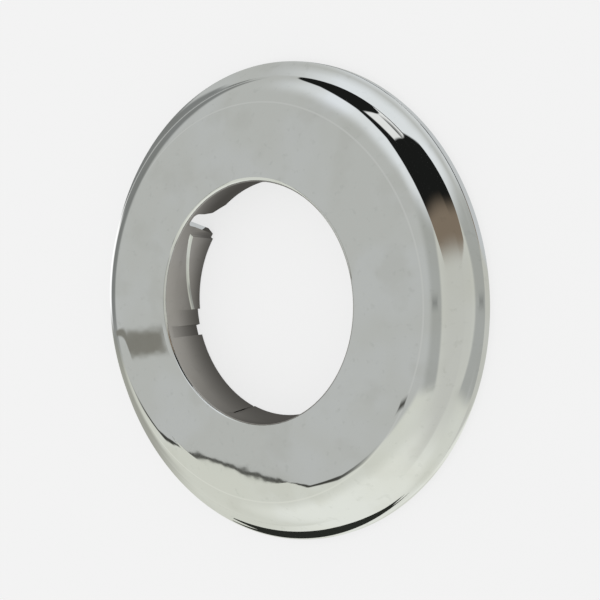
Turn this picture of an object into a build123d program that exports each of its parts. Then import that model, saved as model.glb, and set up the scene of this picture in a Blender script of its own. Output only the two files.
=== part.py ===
from build123d import *
import os
from math import cos, degrees, radians, sin

# Bright-plated rosette for a 32 mm waste pipe: one moulded ring that hides the hole in the wall.
# The wall is the plane z = 0, the pipe runs along Z, and the bright face looks up.

# Plate, rounded shoulder, flared flange and rim, with the hollow behind them
outside_diameter = 65.0
total_height = 6.7
shoulder_width = 6.0
shoulder_drop = 3.6
flare_width = 1.1
flare_drop = 1.25
lip_width = 0.9
lip_drop = 0.55
rim_bevel = 0.3
rim_land = 1.5
wall = 1.2
hollow_corner = 3.0

# Bore and its rounded front edge
bore_diameter = 32.4
bore_edge_round = 0.65

# Collar of three spring fingers behind the plate, each leaning in or out towards its tip
finger_thickness = 1.2
finger_back_gap = 0.2
straight_bore_length = 2.0
top_tip_lean = 0.55
left_tip_lean = -0.55
bottom_tip_lean = -0.65

# Gaps that part the fingers: an open slot, the same slot on the hidden side, and a fine slit
slot_angle = 134.6
hidden_slot_angle = 12.0
slot_width = 2.1
slot_flare = 1.1
slot_end_depth = 1.0
slot_overrun = 0.4
slot_corner_round = 0.7
tip_corner_width = 1.8
tip_corner_height = 2.0
slit_angle = 249.0
slit_width = 0.25
slit_end_depth = 2.4

# Flute down the left finger, and the raised pad at its tip that bites on the pipe
flute_angle = 194.8
flute_width = 1.55
flute_depth = 0.2
pad_start_angle = 144.5
pad_end_angle = 184.0
pad_height = 0.35
pad_long_end = 3.7
pad_short_end = 1.0

os.makedirs("parts", exist_ok=True)

rim_radius = outside_diameter / 2
bore_radius = bore_diameter / 2
collar_radius = bore_radius + finger_thickness
plate_underside = total_height - wall
lip_end = rim_radius - rim_bevel
flare_end = lip_end - lip_width
shoulder_radius = flare_end - flare_width
shoulder_start = shoulder_radius - shoulder_width
shoulder_round = (shoulder_width**2 + shoulder_drop**2) / (2 * shoulder_drop)
shoulder_foot = total_height - shoulder_drop
flare_foot = shoulder_foot - flare_drop
rim_top = flare_foot - lip_drop
skirt_radius = shoulder_radius - wall
skirt_height = plate_underside - hollow_corner
straight_bore_end = total_height - bore_edge_round - straight_bore_length


def section_plane(angle):
    """Upright plane through the axis: local x runs outwards at this angle, local y runs up."""
    return Plane.XZ.rotated((0, 0, angle))


def wall_plane(angle, radius):
    """Plane square to the radius at this angle: local x runs round the ring, local y runs up."""
    outward = Vector(cos(radians(angle)), sin(radians(angle)), 0)
    around = Vector(-sin(radians(angle)), cos(radians(angle)), 0)
    return Plane(origin=outward * radius, x_dir=around, z_dir=outward)


# The pad follows the left finger's leaning wall, and its front end is cut off at a slant
tip_radius = bore_radius + left_tip_lean
lean_slope = left_tip_lean / (straight_bore_end - finger_back_gap)
pad_front = finger_back_gap + pad_long_end
pad_front_radius = tip_radius - lean_slope * pad_long_end
pad_middle_angle = (pad_start_angle + pad_end_angle) / 2
pad_half_chord = tip_radius * sin(radians((pad_end_angle - pad_start_angle) / 2))

with BuildPart() as pad:
    with BuildSketch(section_plane(pad_start_angle)):
        with BuildLine():
            Polyline(
                (tip_radius - pad_height, finger_back_gap),
                (tip_radius + finger_thickness / 2, finger_back_gap),
                (pad_front_radius + finger_thickness / 2, pad_front),
                (pad_front_radius - pad_height, pad_front),
                close=True,
            )
        make_face()
    revolve(axis=Axis.Z, revolution_arc=pad_end_angle - pad_start_angle)
    with BuildSketch(wall_plane(pad_middle_angle, 0)):
        with BuildLine():
            Polyline(
                (-pad_half_chord, pad_front),
                (pad_half_chord, finger_back_gap + pad_short_end),
                (2 * pad_half_chord, finger_back_gap + pad_short_end),
                (2 * pad_half_chord, 2 * pad_front),
                (-pad_half_chord, 2 * pad_front),
                close=True,
            )
        make_face()
    extrude(amount=rim_radius, mode=Mode.SUBTRACT)


with BuildPart() as rosette:
    # Plate, shoulder, flange, hollow back and the collar's straight part, turned from one section
    with BuildSketch(section_plane(0)):
        with BuildLine():
            face = Line((bore_radius + bore_edge_round, total_height), (shoulder_start, total_height))
            shoulder = RadiusArc(face @ 1, (shoulder_radius, shoulder_foot), shoulder_round)
            flare = Line(shoulder @ 1, (flare_end, flare_foot))
            lip = Line(flare @ 1, (lip_end, rim_top))
            bevel = Line(lip @ 1, (rim_radius, rim_top - rim_bevel))
            rim_edge = Line(bevel @ 1, (rim_radius, 0))
            back = Line(rim_edge @ 1, (rim_radius - rim_land, 0))
            skirt = Line(back @ 1, (skirt_radius, skirt_height))
            corner = Line(skirt @ 1, (skirt_radius - hollow_corner, plate_underside))
            underside = Line(corner @ 1, (collar_radius, plate_underside))
            collar = Line(underside @ 1, (collar_radius, straight_bore_end))
            collar_end = Line(collar @ 1, (bore_radius, straight_bore_end))
            bore = Line(collar_end @ 1, (bore_radius, total_height - bore_edge_round))
            RadiusArc(bore @ 1, face @ 0, bore_edge_round)
        make_face()
    revolve(axis=Axis.Z)

    # Three fingers carry the collar on, each turned through its own share of the ring
    fingers = (
        (hidden_slot_angle, slot_angle, top_tip_lean),
        (slot_angle, slit_angle, left_tip_lean),
        (slit_angle, hidden_slot_angle + 360, bottom_tip_lean),
    )
    slit_half_angle = degrees(slit_width / 2 / bore_radius)
    for start_angle, end_angle, lean in fingers:
        with BuildSketch(section_plane(start_angle + slit_half_angle)):
            with BuildLine():
                Polyline(
                    (bore_radius, straight_bore_end),
                    (bore_radius + lean, finger_back_gap),
                    (collar_radius + lean, finger_back_gap),
                    (collar_radius, straight_bore_end),
                    close=True,
                )
            make_face()
        revolve(axis=Axis.Z, revolution_arc=end_angle - start_angle - 2 * slit_half_angle)
    add(pad.part)

    # Flute cut straight down the left finger's inner wall
    cut_start = bore_radius / 2
    with BuildSketch(wall_plane(flute_angle, cut_start)):
        with Locations((0, plate_underside / 2)):
            Rectangle(flute_width, plate_underside)
    extrude(amount=bore_radius + flute_depth - cut_start, mode=Mode.SUBTRACT)

    # Open slots: one side upright, the other flared, and the first finger's tip corner cut back
    widest_lean = max(top_tip_lean, left_tip_lean, bottom_tip_lean, 0)
    cut_length = collar_radius + widest_lean + slot_overrun - cut_start
    slot_top = total_height - slot_end_depth
    for angle in (slot_angle, hidden_slot_angle):
        with BuildSketch(wall_plane(angle, cut_start)):
            with BuildLine():
                FilletPolyline(
                    (-slot_width / 2, slot_top),
                    (slot_width / 2, slot_top),
                    (slot_width / 2 + slot_flare, 0),
                    (-slot_width / 2 - tip_corner_width, 0),
                    (-slot_width / 2, tip_corner_height),
                    radius=(slot_corner_round, slot_corner_round, 0, 0, slot_corner_round),
                    close=True,
                )
            make_face()
        extrude(amount=cut_length, mode=Mode.SUBTRACT)

    # Fine slit between the left and the bottom finger
    slit_top = total_height - slit_end_depth
    with BuildSketch(wall_plane(slit_angle, cut_start)):
        with Locations((0, slit_top / 2)):
            Rectangle(slit_width, slit_top)
    extrude(amount=cut_length, mode=Mode.SUBTRACT)

rosette.part.label = "rosette"
export_step(rosette.part, "parts/rosette.step")
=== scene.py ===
import math

import bmesh
import bpy
from mathutils import Color, Matrix, Vector


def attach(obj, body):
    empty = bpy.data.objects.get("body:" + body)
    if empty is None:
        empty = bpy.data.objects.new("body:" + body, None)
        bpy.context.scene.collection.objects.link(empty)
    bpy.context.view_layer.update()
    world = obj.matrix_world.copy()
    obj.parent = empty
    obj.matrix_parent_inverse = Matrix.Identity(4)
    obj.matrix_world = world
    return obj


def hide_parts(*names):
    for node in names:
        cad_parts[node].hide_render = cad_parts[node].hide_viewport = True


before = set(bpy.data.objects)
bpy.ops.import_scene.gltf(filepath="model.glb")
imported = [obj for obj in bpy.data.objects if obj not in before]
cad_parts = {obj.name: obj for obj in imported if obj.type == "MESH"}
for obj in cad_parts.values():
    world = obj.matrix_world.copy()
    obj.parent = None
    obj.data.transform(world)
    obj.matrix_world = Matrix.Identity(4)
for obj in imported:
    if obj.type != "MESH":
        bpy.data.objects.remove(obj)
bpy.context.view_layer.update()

# The camera's view: the rosette lies on its back on the wall plane, and the camera looks down on it
# from the right-hand side with a long lens. It tilts away from straight down towards its bearing.
MM = 0.001
camera_place = Vector((122.281, 6.076, 152.862)) * MM
camera_tilt = math.radians(38.0430)
camera_bearing = math.radians(2.8287)
focal_length = 85.77
sensor_width = 36.0

camera_data = bpy.data.cameras.new("camera")
camera_data.lens = focal_length
camera_data.sensor_width = sensor_width
camera_data.clip_start = 0.01
camera = bpy.data.objects.new("camera", camera_data)
bpy.context.scene.collection.objects.link(camera)
camera_back = Vector((
    math.sin(camera_tilt) * math.cos(camera_bearing),
    math.sin(camera_tilt) * math.sin(camera_bearing),
    math.cos(camera_tilt),
))
camera_up = camera_back.cross(Vector((1.0, 0.0, 0.0))).normalized()
camera_right = camera_up.cross(camera_back)
turn = Matrix((camera_right, camera_up, camera_back)).transposed()
camera.matrix_world = Matrix.Translation(camera_place) @ turn.to_4x4()
bpy.context.scene.camera = camera
bpy.context.scene.view_settings.view_transform = "Standard"


# The bench: a plain pale floor. The plating reflects the room and not the floor, so the floor
# is kept out of the reflections.
def srgb(red, green, blue):
    """A colour given from 0 to 255, in the renderer's own light values."""
    colour = Color((red / 255, green / 255, blue / 255)).from_srgb_to_scene_linear()
    return (*colour, 1.0)


floor_size = 4.0
floor_drop = 0.02 * MM
floor_glow = 0.8
floor_pale = srgb(243, 243, 243)

floor_mesh = bpy.data.meshes.new("floor")
shape = bmesh.new()
bmesh.ops.create_grid(shape, x_segments=1, y_segments=1, size=floor_size / 2)
bmesh.ops.translate(shape, verts=shape.verts, vec=(0, 0, -floor_drop))
shape.to_mesh(floor_mesh)
shape.free()
floor = bpy.data.objects.new("floor", floor_mesh)
bpy.context.scene.collection.objects.link(floor)
floor.visible_glossy = False

floor_paint = bpy.data.materials.new("pale_floor")
floor_paint.use_nodes = True
nodes = floor_paint.node_tree.nodes
matt = nodes["Principled BSDF"]
matt.inputs["Base Color"].default_value = floor_pale
matt.inputs["Roughness"].default_value = 1.0
matt.inputs["Specular IOR Level"].default_value = 0.0
glow = nodes.new("ShaderNodeEmission")
glow.inputs["Color"].default_value = floor_pale
glow.inputs["Strength"].default_value = 1.0
mix = nodes.new("ShaderNodeMixShader")
mix.inputs["Fac"].default_value = floor_glow
floor_paint.node_tree.links.new(matt.outputs["BSDF"], mix.inputs[1])
floor_paint.node_tree.links.new(glow.outputs["Emission"], mix.inputs[2])
floor_paint.node_tree.links.new(mix.outputs["Shader"], nodes["Material Output"].inputs["Surface"])
floor_mesh.materials.append(floor_paint)


# The room as the plating sees it: a large grey card overhead, a pale bench in front of it, and a
# dark doorway behind. Places in it are degrees from straight up, towards +X and towards +Y.
world = bpy.data.worlds.new("room")
world.use_nodes = True
bpy.context.scene.world = world
room = world.node_tree
room.nodes.clear()


def maths(operation, first, second=0.0, third=0.0):
    """One sum on numbers or on other nodes' outputs."""
    node = room.nodes.new("ShaderNodeMath")
    node.operation = operation
    for socket, value in zip(node.inputs, (first, second, third)):
        if isinstance(value, (int, float)):
            socket.default_value = value
        else:
            room.links.new(value, socket)
    return node.outputs["Value"]


def fade(value, start, end):
    """0 below start, 1 above end, and a soft step between; start may lie above end."""
    node = room.nodes.new("ShaderNodeMapRange")
    node.interpolation_type = "SMOOTHERSTEP"
    room.links.new(value, node.inputs["Value"])
    node.inputs["From Min"].default_value = start
    node.inputs["From Max"].default_value = end
    return node.outputs["Result"]


def both(*amounts):
    """Amounts multiplied together: full only where each of them is."""
    product = amounts[0]
    for amount in amounts[1:]:
        product = maths("MULTIPLY", product, amount)
    return product


def curve(value, low, high, bottom, top, points):
    """A line drawn through points (place, height): the height at a place."""
    node = room.nodes.new("ShaderNodeFloatCurve")
    line = node.mapping.curves[0]
    scaled = [((x - low) / (high - low), (y - bottom) / (top - bottom)) for x, y in points]
    while len(line.points) < len(scaled):
        line.points.new(0.5, 0.5)
    for knot, (x, y) in zip(line.points, scaled):
        knot.location = (x, y)
        knot.handle_type = "VECTOR"
    node.mapping.update()
    share = maths("MULTIPLY_ADD", value, 1 / (high - low), -low / (high - low))
    room.links.new(share, node.inputs["Value"])
    return maths("MULTIPLY_ADD", node.outputs["Value"], top - bottom, bottom)


def paint(under, over, amount):
    """Lays one colour over another by an amount from 0 to 1."""
    node = room.nodes.new("ShaderNodeMix")
    node.data_type = "RGBA"
    room.links.new(amount, node.inputs["Factor"])
    for socket, value in ((node.inputs["A"], under), (node.inputs["B"], over)):
        if isinstance(value, tuple):
            socket.default_value = value
        else:
            room.links.new(value, socket)
    return node.outputs["Result"]


def patch(across, up, half_across, half_up, soft, turned=0.0):
    """A soft-edged oblong centred at (across, up), turned by an angle in degrees."""
    cosine, sine = math.cos(math.radians(turned)), math.sin(math.radians(turned))
    from_x = maths("SUBTRACT", towards_x, across)
    from_y = maths("SUBTRACT", towards_y, up)
    along = maths("MULTIPLY_ADD", from_y, sine, maths("MULTIPLY", from_x, cosine))
    beside = maths("MULTIPLY_ADD", from_x, -sine, maths("MULTIPLY", from_y, cosine))
    out_along = maths("SUBTRACT", maths("ABSOLUTE", along), half_across)
    out_beside = maths("SUBTRACT", maths("ABSOLUTE", beside), half_up)
    return fade(maths("MAXIMUM", out_along, out_beside), soft, -soft)


looking = room.nodes.new("ShaderNodeTexCoord").outputs["Generated"]
split = room.nodes.new("ShaderNodeSeparateXYZ")
room.links.new(looking, split.inputs["Vector"])
x, y, z = split.outputs
from_up = maths("DEGREES", maths("ARCCOSINE", z))
level = maths("SQRT", maths("MAXIMUM", maths("SUBTRACT", 1.0, maths("MULTIPLY", z, z)), 1e-8))
towards_x = maths("MULTIPLY", maths("DIVIDE", x, level), from_up)
towards_y = maths("MULTIPLY", maths("DIVIDE", y, level), from_up)
bearing = maths("DEGREES", maths("ARCTAN2", y, x))

bench_colour = srgb(201, 203, 194)
bench_light = srgb(218, 220, 212)
bench_dull = srgb(154, 155, 147)
side_colour = srgb(184, 185, 178)
card_colour = srgb(176, 178, 175)
card_light = srgb(216, 220, 222)
card_dull = srgb(158, 160, 156)
brown_colour = srgb(120, 108, 94)
dark_colour = srgb(24, 25, 24)
beyond_colour = srgb(186, 189, 190)
window_colour = srgb(222, 223, 222)
shade_colour = srgb(120, 122, 120)
streak_colour = srgb(122, 121, 114)
lamp_colour = srgb(255, 255, 255)
line_colour = srgb(62, 62, 58)

# Pale bench: lightest far down, dull to the left, duller towards +X
far_down = both(fade(towards_y, -45.0, -72.0), fade(towards_x, -80.0, -30.0))
colour = paint(bench_colour, bench_light, far_down)
colour = paint(colour, side_colour, fade(towards_x, 10.0, 70.0))
colour = paint(colour, bench_dull, both(fade(towards_x, -76.0, -98.0), fade(towards_y, -58.0, -30.0)))

# Grey card above the bench's far edge, dull at its right-hand side, light towards the doorway. The
# edge dips on both sides of the flat face, which shows it as one straight slanting line.
dips = curve(
    towards_x, -120.0, 60.0, -60.0, 20.0,
    ((-120, -4), (-92, -11), (-75, -20), (-63, -23), (-55, -19), (-46, -12), (-42, -6), (-39, -8),
     (-35, -20), (-31, -30), (-20, -38), (-10, -38), (60, -20)),
)
line_middle = -40.4
line_height = -9.15
line_fall = 0.34
face_line = maths("MULTIPLY_ADD", maths("SUBTRACT", towards_x, line_middle), -line_fall, line_height)
card_edge = maths("MINIMUM", dips, face_line)
card_top = curve(
    towards_x, -80.0, 60.0, 0.0, 110.0,
    ((-80, 100), (-30, 93), (0, 82), (20, 68), (30, 54), (60, 10)),
)
above_edge = maths("SUBTRACT", towards_y, card_edge)
above_top = maths("SUBTRACT", towards_y, card_top)
card = paint(card_colour, card_light, both(fade(above_top, -36.0, -8.0), fade(towards_x, -75.0, -5.0)))
card = paint(card, card_dull, both(fade(towards_x, 20.0, 34.0), fade(towards_y, 50.0, 20.0)))

# A dark line runs along the edge. It is thinnest on the flat face and widens away from it.
face_middle = -40.0
widening = 0.07
narrowing = -0.65
thinnest = 0.11
from_middle = maths("SUBTRACT", towards_x, face_middle)
away = maths("SQRT", maths("MULTIPLY_ADD", from_middle, from_middle, maths("POWER", towards_y, 2.0)))
line_width = maths("MAXIMUM", maths("MULTIPLY_ADD", away, widening, narrowing), thinnest)
across_edge = maths("DIVIDE", above_edge, line_width)
on_card = both(fade(across_edge, -1.0, 1.0), fade(towards_x, 49.0, 43.0))
colour = paint(colour, card, on_card)
on_line = both(
    fade(maths("ABSOLUTE", across_edge), 1.3, 0.4), fade(towards_x, 0.0, -24.0),
    fade(towards_x, -84.0, -66.0),
)
colour = paint(colour, line_colour, on_line)

# Dark doorway above the card's top edge, browner and lighter towards the right
doorway = both(fade(above_top, -1.0, 1.0), fade(bearing, 10.0, 28.0), fade(bearing, 160.0, 138.0))
opening = paint(brown_colour, dark_colour, fade(bearing, 32.0, 45.0))
opening = paint(opening, beyond_colour, both(fade(from_up, 111.0, 119.0), fade(bearing, 118.0, 108.0)))
opening = paint(opening, beyond_colour, both(fade(from_up, 97.0, 106.0), fade(bearing, 72.0, 58.0)))
opening = paint(opening, beyond_colour, fade(from_up, 124.0, 132.0))
colour = paint(colour, opening, doorway)
colour = paint(colour, window_colour, patch(19.5, 89.0, 12.5, 9.0, 1.5, -24.0))

# Shade and lamp on the left, and small things standing on the card
shade = both(
    fade(towards_x, -78.0, -90.0), fade(towards_y, -22.0, -2.0), fade(towards_y, 92.0, 72.0),
    fade(from_up, 124.0, 116.0),
)
colour = paint(colour, shade_colour, shade)
colour = paint(colour, lamp_colour, patch(-122.0, 4.0, 15.0, 11.0, 5.0))
colour = paint(colour, streak_colour, patch(-68.0, -6.4, 24.8, 0.55, 0.3, 6.6))
colour = paint(colour, shade_colour, both(patch(34.0, -2.0, 4.0, 1.0, 4.0), fade(towards_x, 20.0, 34.0)))
colour = paint(colour, line_colour, patch(3.0, -25.5, 3.6, 1.2, 1.8, -15.0))

# Matt surfaces get plain white light, and the plating the room
plain_strength = 1.0
seen_strength = 1.12
plain_light = room.nodes.new("ShaderNodeBackground")
plain_light.inputs["Color"].default_value = srgb(255, 255, 255)
plain_light.inputs["Strength"].default_value = plain_strength
seen_light = room.nodes.new("ShaderNodeBackground")
seen_light.inputs["Strength"].default_value = seen_strength
room.links.new(colour, seen_light.inputs["Color"])
ray = room.nodes.new("ShaderNodeLightPath")
choose = room.nodes.new("ShaderNodeMixShader")
output = room.nodes.new("ShaderNodeOutputWorld")
room.links.new(ray.outputs["Is Glossy Ray"], choose.inputs["Fac"])
room.links.new(plain_light.outputs["Background"], choose.inputs[1])
room.links.new(seen_light.outputs["Background"], choose.inputs[2])
room.links.new(choose.outputs["Shader"], output.inputs["Surface"])


# Things close to the rosette that only its plating shows: the floor seen through the bore, dull with
# painted shade towards the collar, and a dark sheet of painted shade for the contact shadow where the
# lower rim rests.
def glowing_paint(name, colour):
    """Paint that only glows, in one colour."""
    material = bpy.data.materials.new(name)
    material.use_nodes = True
    tree = material.node_tree
    tree.nodes.clear()
    glow = tree.nodes.new("ShaderNodeEmission")
    glow.inputs["Color"].default_value = colour
    surface = tree.nodes.new("ShaderNodeOutputMaterial")
    tree.links.new(glow.outputs["Emission"], surface.inputs["Surface"])
    return material


def stage_unseen(name, shape, material):
    """Stages a thing that only reflections show."""
    mesh = bpy.data.meshes.new(name)
    shape.to_mesh(mesh)
    shape.free()
    mesh.materials.append(material)
    thing = bpy.data.objects.new(name, mesh)
    bpy.context.scene.collection.objects.link(thing)
    thing.visible_camera = False
    thing.visible_diffuse = False
    thing.visible_shadow = False


# The bore's floor glows and only reflections show it: palest in the middle and dull towards the collar
# with painted shade
floor_radius = 17.4
pale_radius = 9.0
collar_shade_radius = 16.4
pale_glow = srgb(158, 155, 150)
collar_shade_glow = srgb(76, 74, 71)
bore_floor = bmesh.new()
bmesh.ops.create_circle(bore_floor, cap_ends=True, segments=96, radius=floor_radius * MM)
bmesh.ops.translate(bore_floor, verts=bore_floor.verts, vec=(0, 0, -floor_drop / 2))
bore_paint = glowing_paint("bore_floor", pale_glow)
bore_nodes = bore_paint.node_tree.nodes
bore_links = bore_paint.node_tree.links
bore_place = bore_nodes.new("ShaderNodeTexCoord").outputs["Object"]
bore_out = bore_nodes.new("ShaderNodeVectorMath")
bore_out.operation = "LENGTH"
bore_links.new(bore_place, bore_out.inputs[0])
bore_ramp = bore_nodes.new("ShaderNodeMapRange")
bore_ramp.interpolation_type = "SMOOTHSTEP"
bore_ramp.inputs["From Min"].default_value = pale_radius * MM
bore_ramp.inputs["From Max"].default_value = collar_shade_radius * MM
bore_links.new(bore_out.outputs["Value"], bore_ramp.inputs["Value"])
bore_blend = bore_nodes.new("ShaderNodeMix")
bore_blend.data_type = "RGBA"
bore_blend.inputs["A"].default_value = pale_glow
bore_blend.inputs["B"].default_value = collar_shade_glow
bore_links.new(bore_ramp.outputs["Result"], bore_blend.inputs["Factor"])
bore_links.new(bore_blend.outputs["Result"], bore_nodes["Emission"].inputs["Color"])
stage_unseen("bore_floor", bore_floor, bore_paint)

# The sheet of painted shade for the contact shadow stands outside the rim. It rises ever more steeply
# round to the right, and opens out from a thin start.
rim_shade_radius = 37.5
rim_shade_start = 248.0
rim_shade_turn = 61.0
rim_shade_foot = 0.7
rim_shade_rise = 5.5
rim_shade_bend = 1.4
rim_shade_thin = 0.2
rim_shade_wide = 2.2
rim_shade_opening = 0.4
rim_shade_steps = 72
rim_shade_sheet = bmesh.new()
ends = []
for step in range(rim_shade_steps + 1):
    share = step / rim_shade_steps
    turned = math.radians(rim_shade_start + rim_shade_turn * share)
    outward = Vector((math.cos(turned), math.sin(turned), 0.0)) * rim_shade_radius
    foot = rim_shade_foot + rim_shade_rise * share**rim_shade_bend
    head = foot + rim_shade_thin + (rim_shade_wide - rim_shade_thin) * min(1.0, share / rim_shade_opening)
    places = [outward + Vector((0.0, 0.0, height)) for height in (foot, head)]
    ends.append([rim_shade_sheet.verts.new(place * MM) for place in places])
for (foot, head), (next_foot, next_head) in zip(ends, ends[1:]):
    rim_shade_sheet.faces.new((foot, next_foot, next_head, head))

# Only the rim is near enough to show the painted shade: further off, its paint lets the light through
rim_shade_reach = 7.95
rim_shade_paint = glowing_paint("rim_shade_sheet", srgb(42, 44, 40))
rim_shade_nodes = rim_shade_paint.node_tree.nodes
rim_shade_links = rim_shade_paint.node_tree.links
too_far = rim_shade_nodes.new("ShaderNodeMath")
too_far.operation = "GREATER_THAN"
too_far.inputs[1].default_value = rim_shade_reach * MM
rim_shade_links.new(rim_shade_nodes.new("ShaderNodeLightPath").outputs["Ray Length"], too_far.inputs[0])
rim_shade_mix = rim_shade_nodes.new("ShaderNodeMixShader")
rim_shade_clear = rim_shade_nodes.new("ShaderNodeBsdfTransparent")
rim_shade_links.new(too_far.outputs["Value"], rim_shade_mix.inputs["Fac"])
rim_shade_links.new(rim_shade_nodes["Emission"].outputs["Emission"], rim_shade_mix.inputs[1])
rim_shade_links.new(rim_shade_clear.outputs["BSDF"], rim_shade_mix.inputs[2])
rim_shade_links.new(rim_shade_mix.outputs["Shader"], rim_shade_nodes["Material Output"].inputs["Surface"])
stage_unseen("rim_shade_sheet", rim_shade_sheet, rim_shade_paint)


# Bright plating: a mirror-like chrome skin over the moulding, with the faint waviness of moulded
# plastic under it.
plating = bpy.data.materials.new("bright_plating")
plating.use_nodes = True
chrome = plating.node_tree.nodes["Principled BSDF"]
chrome.inputs["Metallic"].default_value = 1.0
chrome.inputs["Roughness"].default_value = 0.02
links = plating.node_tree.links
chrome_nodes = plating.node_tree.nodes
place = chrome_nodes.new("ShaderNodeTexCoord").outputs["Object"]


def cloud(scale, detail, low, high):
    """Soft noise over the piece, from 0 below low to 1 above high."""
    noise = chrome_nodes.new("ShaderNodeTexNoise")
    noise.inputs["Scale"].default_value = scale
    noise.inputs["Detail"].default_value = detail
    links.new(place, noise.inputs["Vector"])
    spread = chrome_nodes.new("ShaderNodeMapRange")
    spread.interpolation_type = "SMOOTHSTEP"
    spread.inputs["From Min"].default_value = low
    spread.inputs["From Max"].default_value = high
    links.new(noise.outputs["Fac"], spread.inputs["Value"])
    return spread.outputs["Result"]


def tint(under, over, amount, strength):
    """Lays one tint over another by an amount times a strength."""
    scaled = chrome_nodes.new("ShaderNodeMath")
    scaled.operation = "MULTIPLY"
    links.new(amount, scaled.inputs[0])
    scaled.inputs[1].default_value = strength
    blend = chrome_nodes.new("ShaderNodeMix")
    blend.data_type = "RGBA"
    links.new(scaled.outputs["Value"], blend.inputs["Factor"])
    for socket, value in ((blend.inputs["A"], under), (blend.inputs["B"], over)):
        if isinstance(value, tuple):
            socket.default_value = value
        else:
            links.new(value, socket)
    return blend.outputs["Result"]


# Film on the plating: cool and warm clouds a few millimetres across, and fine specks
film_warm = (0.89, 0.895, 0.885, 1.0)
film_cool = (0.93, 0.94, 0.955, 1.0)
film_dull = (0.82, 0.82, 0.80, 1.0)
film_speck = (0.75, 0.76, 0.75, 1.0)
reflection_white = (1.0, 1.0, 1.0, 1.0)
film_and_painted_line = tint(film_warm, film_cool, cloud(95.0, 2.0, 0.45, 0.65), 0.8)
film_and_painted_line = tint(film_and_painted_line, film_dull, cloud(150.0, 3.0, 0.50, 0.68), 0.55)
film_and_painted_line = tint(film_and_painted_line, film_speck, cloud(900.0, 2.0, 0.60, 0.75), 0.35)

# A fine bright line round the shoulder, painted in to stand for a reflected line
line_radius = 26.7
line_core = 0.04
line_edge = 0.16
line_strength = 0.7
flat_place = chrome_nodes.new("ShaderNodeVectorMath")
flat_place.operation = "MULTIPLY"
links.new(place, flat_place.inputs[0])
flat_place.inputs[1].default_value = (1.0, 1.0, 0.0)
radius_out = chrome_nodes.new("ShaderNodeVectorMath")
radius_out.operation = "LENGTH"
links.new(flat_place.outputs["Vector"], radius_out.inputs[0])
from_line = chrome_nodes.new("ShaderNodeMath")
from_line.operation = "SUBTRACT"
links.new(radius_out.outputs["Value"], from_line.inputs[0])
from_line.inputs[1].default_value = line_radius * MM
line_gap = chrome_nodes.new("ShaderNodeMath")
line_gap.operation = "ABSOLUTE"
links.new(from_line.outputs["Value"], line_gap.inputs[0])
bright_line = chrome_nodes.new("ShaderNodeMapRange")
bright_line.interpolation_type = "SMOOTHSTEP"
bright_line.inputs["From Min"].default_value = line_edge * MM
bright_line.inputs["From Max"].default_value = line_core * MM
links.new(line_gap.outputs["Value"], bright_line.inputs["Value"])
film_and_painted_line = tint(film_and_painted_line, reflection_white, bright_line.outputs["Result"], line_strength)
links.new(film_and_painted_line, chrome.inputs["Base Color"])

# Waviness of the moulding under the film
wave_scale = 240.0
wave_strength = 0.12
wave_height = 0.04
waves = chrome_nodes.new("ShaderNodeTexNoise")
waves.inputs["Scale"].default_value = wave_scale
waves.inputs["Detail"].default_value = 2.0
links.new(place, waves.inputs["Vector"])
bump = chrome_nodes.new("ShaderNodeBump")
bump.inputs["Strength"].default_value = wave_strength
bump.inputs["Distance"].default_value = wave_height * MM
links.new(waves.outputs["Fac"], bump.inputs["Height"])
links.new(bump.outputs["Normal"], chrome.inputs["Normal"])


# The rosette: one moulding of plated plastic. A flat plate runs over a rounded shoulder into a flared
# flange, and a split collar of three spring fingers behind the plate grips the pipe.
outside_radius = 32.5
total_height = 6.7
plate_underside = 5.5
bore_radius = 16.2
bore_edge_round = 0.65
collar_radius = 17.4
straight_bore_end = 4.05
finger_back_gap = 0.2
spin_steps = 288

# Corners of the section: radius, height, length of the rounding along each side, and its steps.
# Two corners without rounding keep the flat face's reflections flat up to its edges.
section_corners = (
    (bore_radius, total_height, bore_edge_round, 10),
    (16.93, total_height, 0.0, 1),
    (24.13, total_height, 0.0, 1),
    (28.286, total_height, 4.08, 36),
    (30.42, 2.69, 0.14, 5),
    (31.5, 1.66, 0.6, 10),
    (outside_radius, 1.04, 0.1, 4),
    (outside_radius, 0.0, 0.08, 3),
    (31.0, 0.0, 0.15, 3),
    (29.0, 2.5, 0.8, 5),
    (26.0, plate_underside, 0.8, 5),
    (collar_radius, plate_underside, 0.25, 4),
    (collar_radius, finger_back_gap, 0.12, 3),
    (bore_radius, finger_back_gap, 0.12, 3),
)

# Fingers: where each starts and ends round the ring, and how far its tip leans in or out
slot_angle = 134.6
slit_angle = 249.0
hidden_slot_angle = 372.0
fingers = (
    (hidden_slot_angle - 360.0, slot_angle, 0.55),
    (slot_angle, slit_angle, -0.55),
    (slit_angle, hidden_slot_angle, -0.65),
)

# Cuts through the collar: corners as places round the ring and up, with their rounding
cut_start = bore_radius / 2
cut_end = collar_radius + 0.95
slot_corners = (
    (-1.05, 5.7, 0.7), (1.05, 5.7, 0.577), (2.15, 0.0, 0.0), (-2.85, 0.0, 0.0), (-1.05, 2.0, 0.269),
)
slit_corners = ((-0.125, 4.3, 0.0), (0.125, 4.3, 0.0), (0.125, 0.0, 0.0), (-0.125, 0.0, 0.0))
flute_angle = 194.8
flute_radius = 16.4
flute_corners = ((-0.775, 5.5, 0.0), (0.775, 5.5, 0.0), (0.775, 0.0, 0.0), (-0.775, 0.0, 0.0))

# Pad at the left finger's tip: raised off the leaning wall, its front end cut off at a slant
pad_start_angle = 144.5
pad_end_angle = 184.0
pad_height = 0.35
pad_depth = 0.6
pad_long_end = 3.9
pad_short_end = 1.2
pad_steps = 32
sharp_from = 25.0


def round_corners(shape, corners):
    """Rounds the corners of a flat outline: each comes with the length taken off both sides."""
    for corner, length, steps in corners:
        if length:
            bmesh.ops.bevel(
                shape, geom=[corner], affect="VERTICES", offset=length * MM,
                offset_type="OFFSET", segments=steps, profile=0.5, material=-1,
            )


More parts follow.
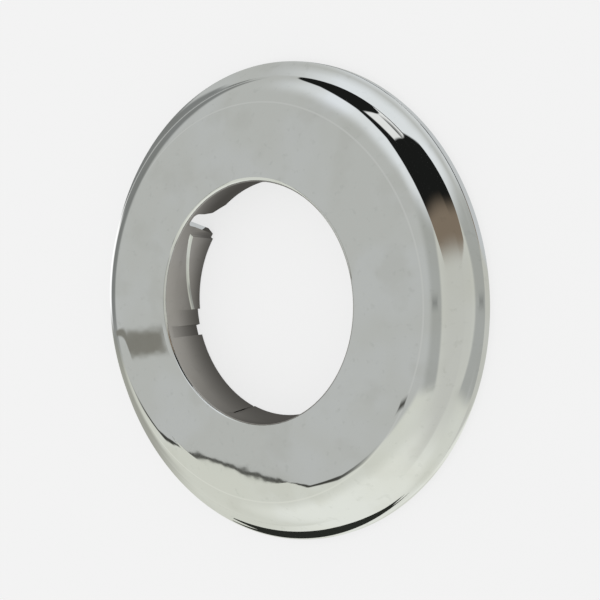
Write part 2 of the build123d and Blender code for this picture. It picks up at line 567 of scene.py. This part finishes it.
def wall_prism(angle, outline, far):
    """A straight cutter through the collar at an angle, drawn as seen from the ring's middle."""
    shape = bmesh.new()
    outward = Vector((math.cos(math.radians(angle)), math.sin(math.radians(angle)), 0.0))
    around = Vector((-outward.y, outward.x, 0.0))
    upward = Vector((0.0, 0.0, 1.0))
    made = [
        shape.verts.new((outward * cut_start + around * across + upward * height) * MM)
        for across, height, _ in outline
    ]
    shape.faces.new(made)
    round_corners(shape, [(corner, length, 8) for corner, (_, _, length) in zip(made, outline)])
    grown = bmesh.ops.extrude_face_region(shape, geom=shape.faces[:])
    moved = [part for part in grown["geom"] if isinstance(part, bmesh.types.BMVert)]
    bmesh.ops.translate(shape, verts=moved, vec=outward * (far - cut_start) * MM)
    bmesh.ops.recalc_face_normals(shape, faces=shape.faces)
    return shape


def combine(piece, shape, operation):
    """Cuts a shape out of a piece, or joins it on, and keeps the result as the piece's mesh."""
    tool_mesh = bpy.data.meshes.new("tool")
    shape.to_mesh(tool_mesh)
    shape.free()
    tool = bpy.data.objects.new("tool", tool_mesh)
    bpy.context.scene.collection.objects.link(tool)
    boolean = piece.modifiers.new("combine", "BOOLEAN")
    boolean.operation = operation
    boolean.solver = "EXACT"
    boolean.object = tool
    evaluated = piece.evaluated_get(bpy.context.evaluated_depsgraph_get())
    result = bpy.data.meshes.new_from_object(evaluated)
    piece.modifiers.clear()
    piece.data = result
    bpy.data.objects.remove(tool)
    bpy.data.meshes.remove(tool_mesh)


section = bmesh.new()
made = [
    section.verts.new((radius * MM, 0.0, height * MM)) for radius, height, _, _ in section_corners
]
section.faces.new(made)
rounding = [
    (corner, length, steps) for corner, (_, _, length, steps) in zip(made, section_corners)
]
round_corners(section, rounding)
bmesh.ops.delete(section, geom=list(section.faces), context="FACES_ONLY")
# Rows down the collar, one of them where the fingers start to lean
for collar_side in (bore_radius, collar_radius):
    upright = [
        edge for edge in section.edges
        if all(abs(corner.co.x - collar_side * MM) < 1e-7 for corner in edge.verts)
    ]
    bmesh.ops.bisect_plane(
        section, geom=upright + list({corner for edge in upright for corner in edge.verts}),
        plane_co=(0.0, 0.0, straight_bore_end * MM), plane_no=(0.0, 0.0, 1.0),
    )
bmesh.ops.spin(
    section, geom=section.verts[:] + section.edges[:], cent=(0, 0, 0), axis=(0, 0, 1),
    angle=2 * math.pi, steps=spin_steps, use_merge=True,
)
bmesh.ops.remove_doubles(section, verts=section.verts, dist=1e-7)
for corner in section.verts:
    radius = corner.co.xy.length / MM
    height = corner.co.z / MM
    angle = math.degrees(math.atan2(corner.co.y, corner.co.x)) % 360.0
    if radius < 20.0 and height < straight_bore_end:
        for start, end, lean in fingers:
            if start <= angle < end or start <= angle + 360.0 < end:
                share = (straight_bore_end - height) / (straight_bore_end - finger_back_gap)
                corner.co.xy *= 1.0 + share * lean / radius
bmesh.ops.recalc_face_normals(section, faces=section.faces)
body_mesh = bpy.data.meshes.new("plated_rosette")
section.to_mesh(body_mesh)
section.free()
rosette = bpy.data.objects.new("plated_rosette", body_mesh)
bpy.context.scene.collection.objects.link(rosette)

# The pad is turned from its section and joined on
left_lean = fingers[1][2]
tip_radius = bore_radius + left_lean
lean_share = (straight_bore_end - pad_long_end) / (straight_bore_end - finger_back_gap)
pad_front_radius = bore_radius + left_lean * lean_share
pad_outline = (
    (tip_radius - pad_height, finger_back_gap),
    (tip_radius + pad_depth, finger_back_gap),
    (pad_front_radius + pad_depth, pad_long_end),
    (pad_front_radius - pad_height, pad_long_end),
)
pad = bmesh.new()
outline = [pad.verts.new((radius * MM, 0.0, height * MM)) for radius, height in pad_outline]
pad.faces.new(outline)
pad_turn = Matrix.Rotation(math.radians(pad_start_angle), 3, "Z")
bmesh.ops.rotate(pad, verts=pad.verts, cent=(0, 0, 0), matrix=pad_turn)
bmesh.ops.spin(
    pad, geom=pad.faces[:], cent=(0, 0, 0), axis=(0, 0, 1),
    angle=math.radians(pad_end_angle - pad_start_angle), steps=pad_steps,
)
pad_middle = math.radians((pad_start_angle + pad_end_angle) / 2)
half_chord = tip_radius * math.sin(math.radians((pad_end_angle - pad_start_angle) / 2))
around = Vector((-math.sin(pad_middle), math.cos(pad_middle), 0.0))
slant = around * (2 * half_chord) + Vector((0.0, 0.0, pad_short_end - pad_long_end))
outward = Vector((math.cos(pad_middle), math.sin(pad_middle), 0.0))
above = outward.cross(slant).normalized()
if above.z < 0:
    above.negate()
start_point = around * -half_chord + Vector((0.0, 0.0, pad_long_end))
sliced = bmesh.ops.bisect_plane(
    pad, geom=pad.verts[:] + pad.edges[:] + pad.faces[:], plane_co=start_point * MM, plane_no=above,
    clear_outer=True,
)
cut_edges = [part for part in sliced["geom_cut"] if isinstance(part, bmesh.types.BMEdge)]
bmesh.ops.holes_fill(pad, edges=cut_edges)
bmesh.ops.recalc_face_normals(pad, faces=pad.faces)
combine(rosette, pad, "UNION")

combine(rosette, wall_prism(flute_angle, flute_corners, flute_radius), "DIFFERENCE")
combine(rosette, wall_prism(slot_angle, slot_corners, cut_end), "DIFFERENCE")
combine(rosette, wall_prism(hidden_slot_angle, slot_corners, cut_end), "DIFFERENCE")
combine(rosette, wall_prism(slit_angle, slit_corners, cut_end), "DIFFERENCE")

rosette.data.name = "plated_rosette"
rosette.data.shade_smooth()
rosette.data.set_sharp_from_angle(angle=math.radians(sharp_from))
rosette.data.materials.clear()
rosette.data.materials.append(plating)
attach(rosette, "root")
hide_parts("rosette")
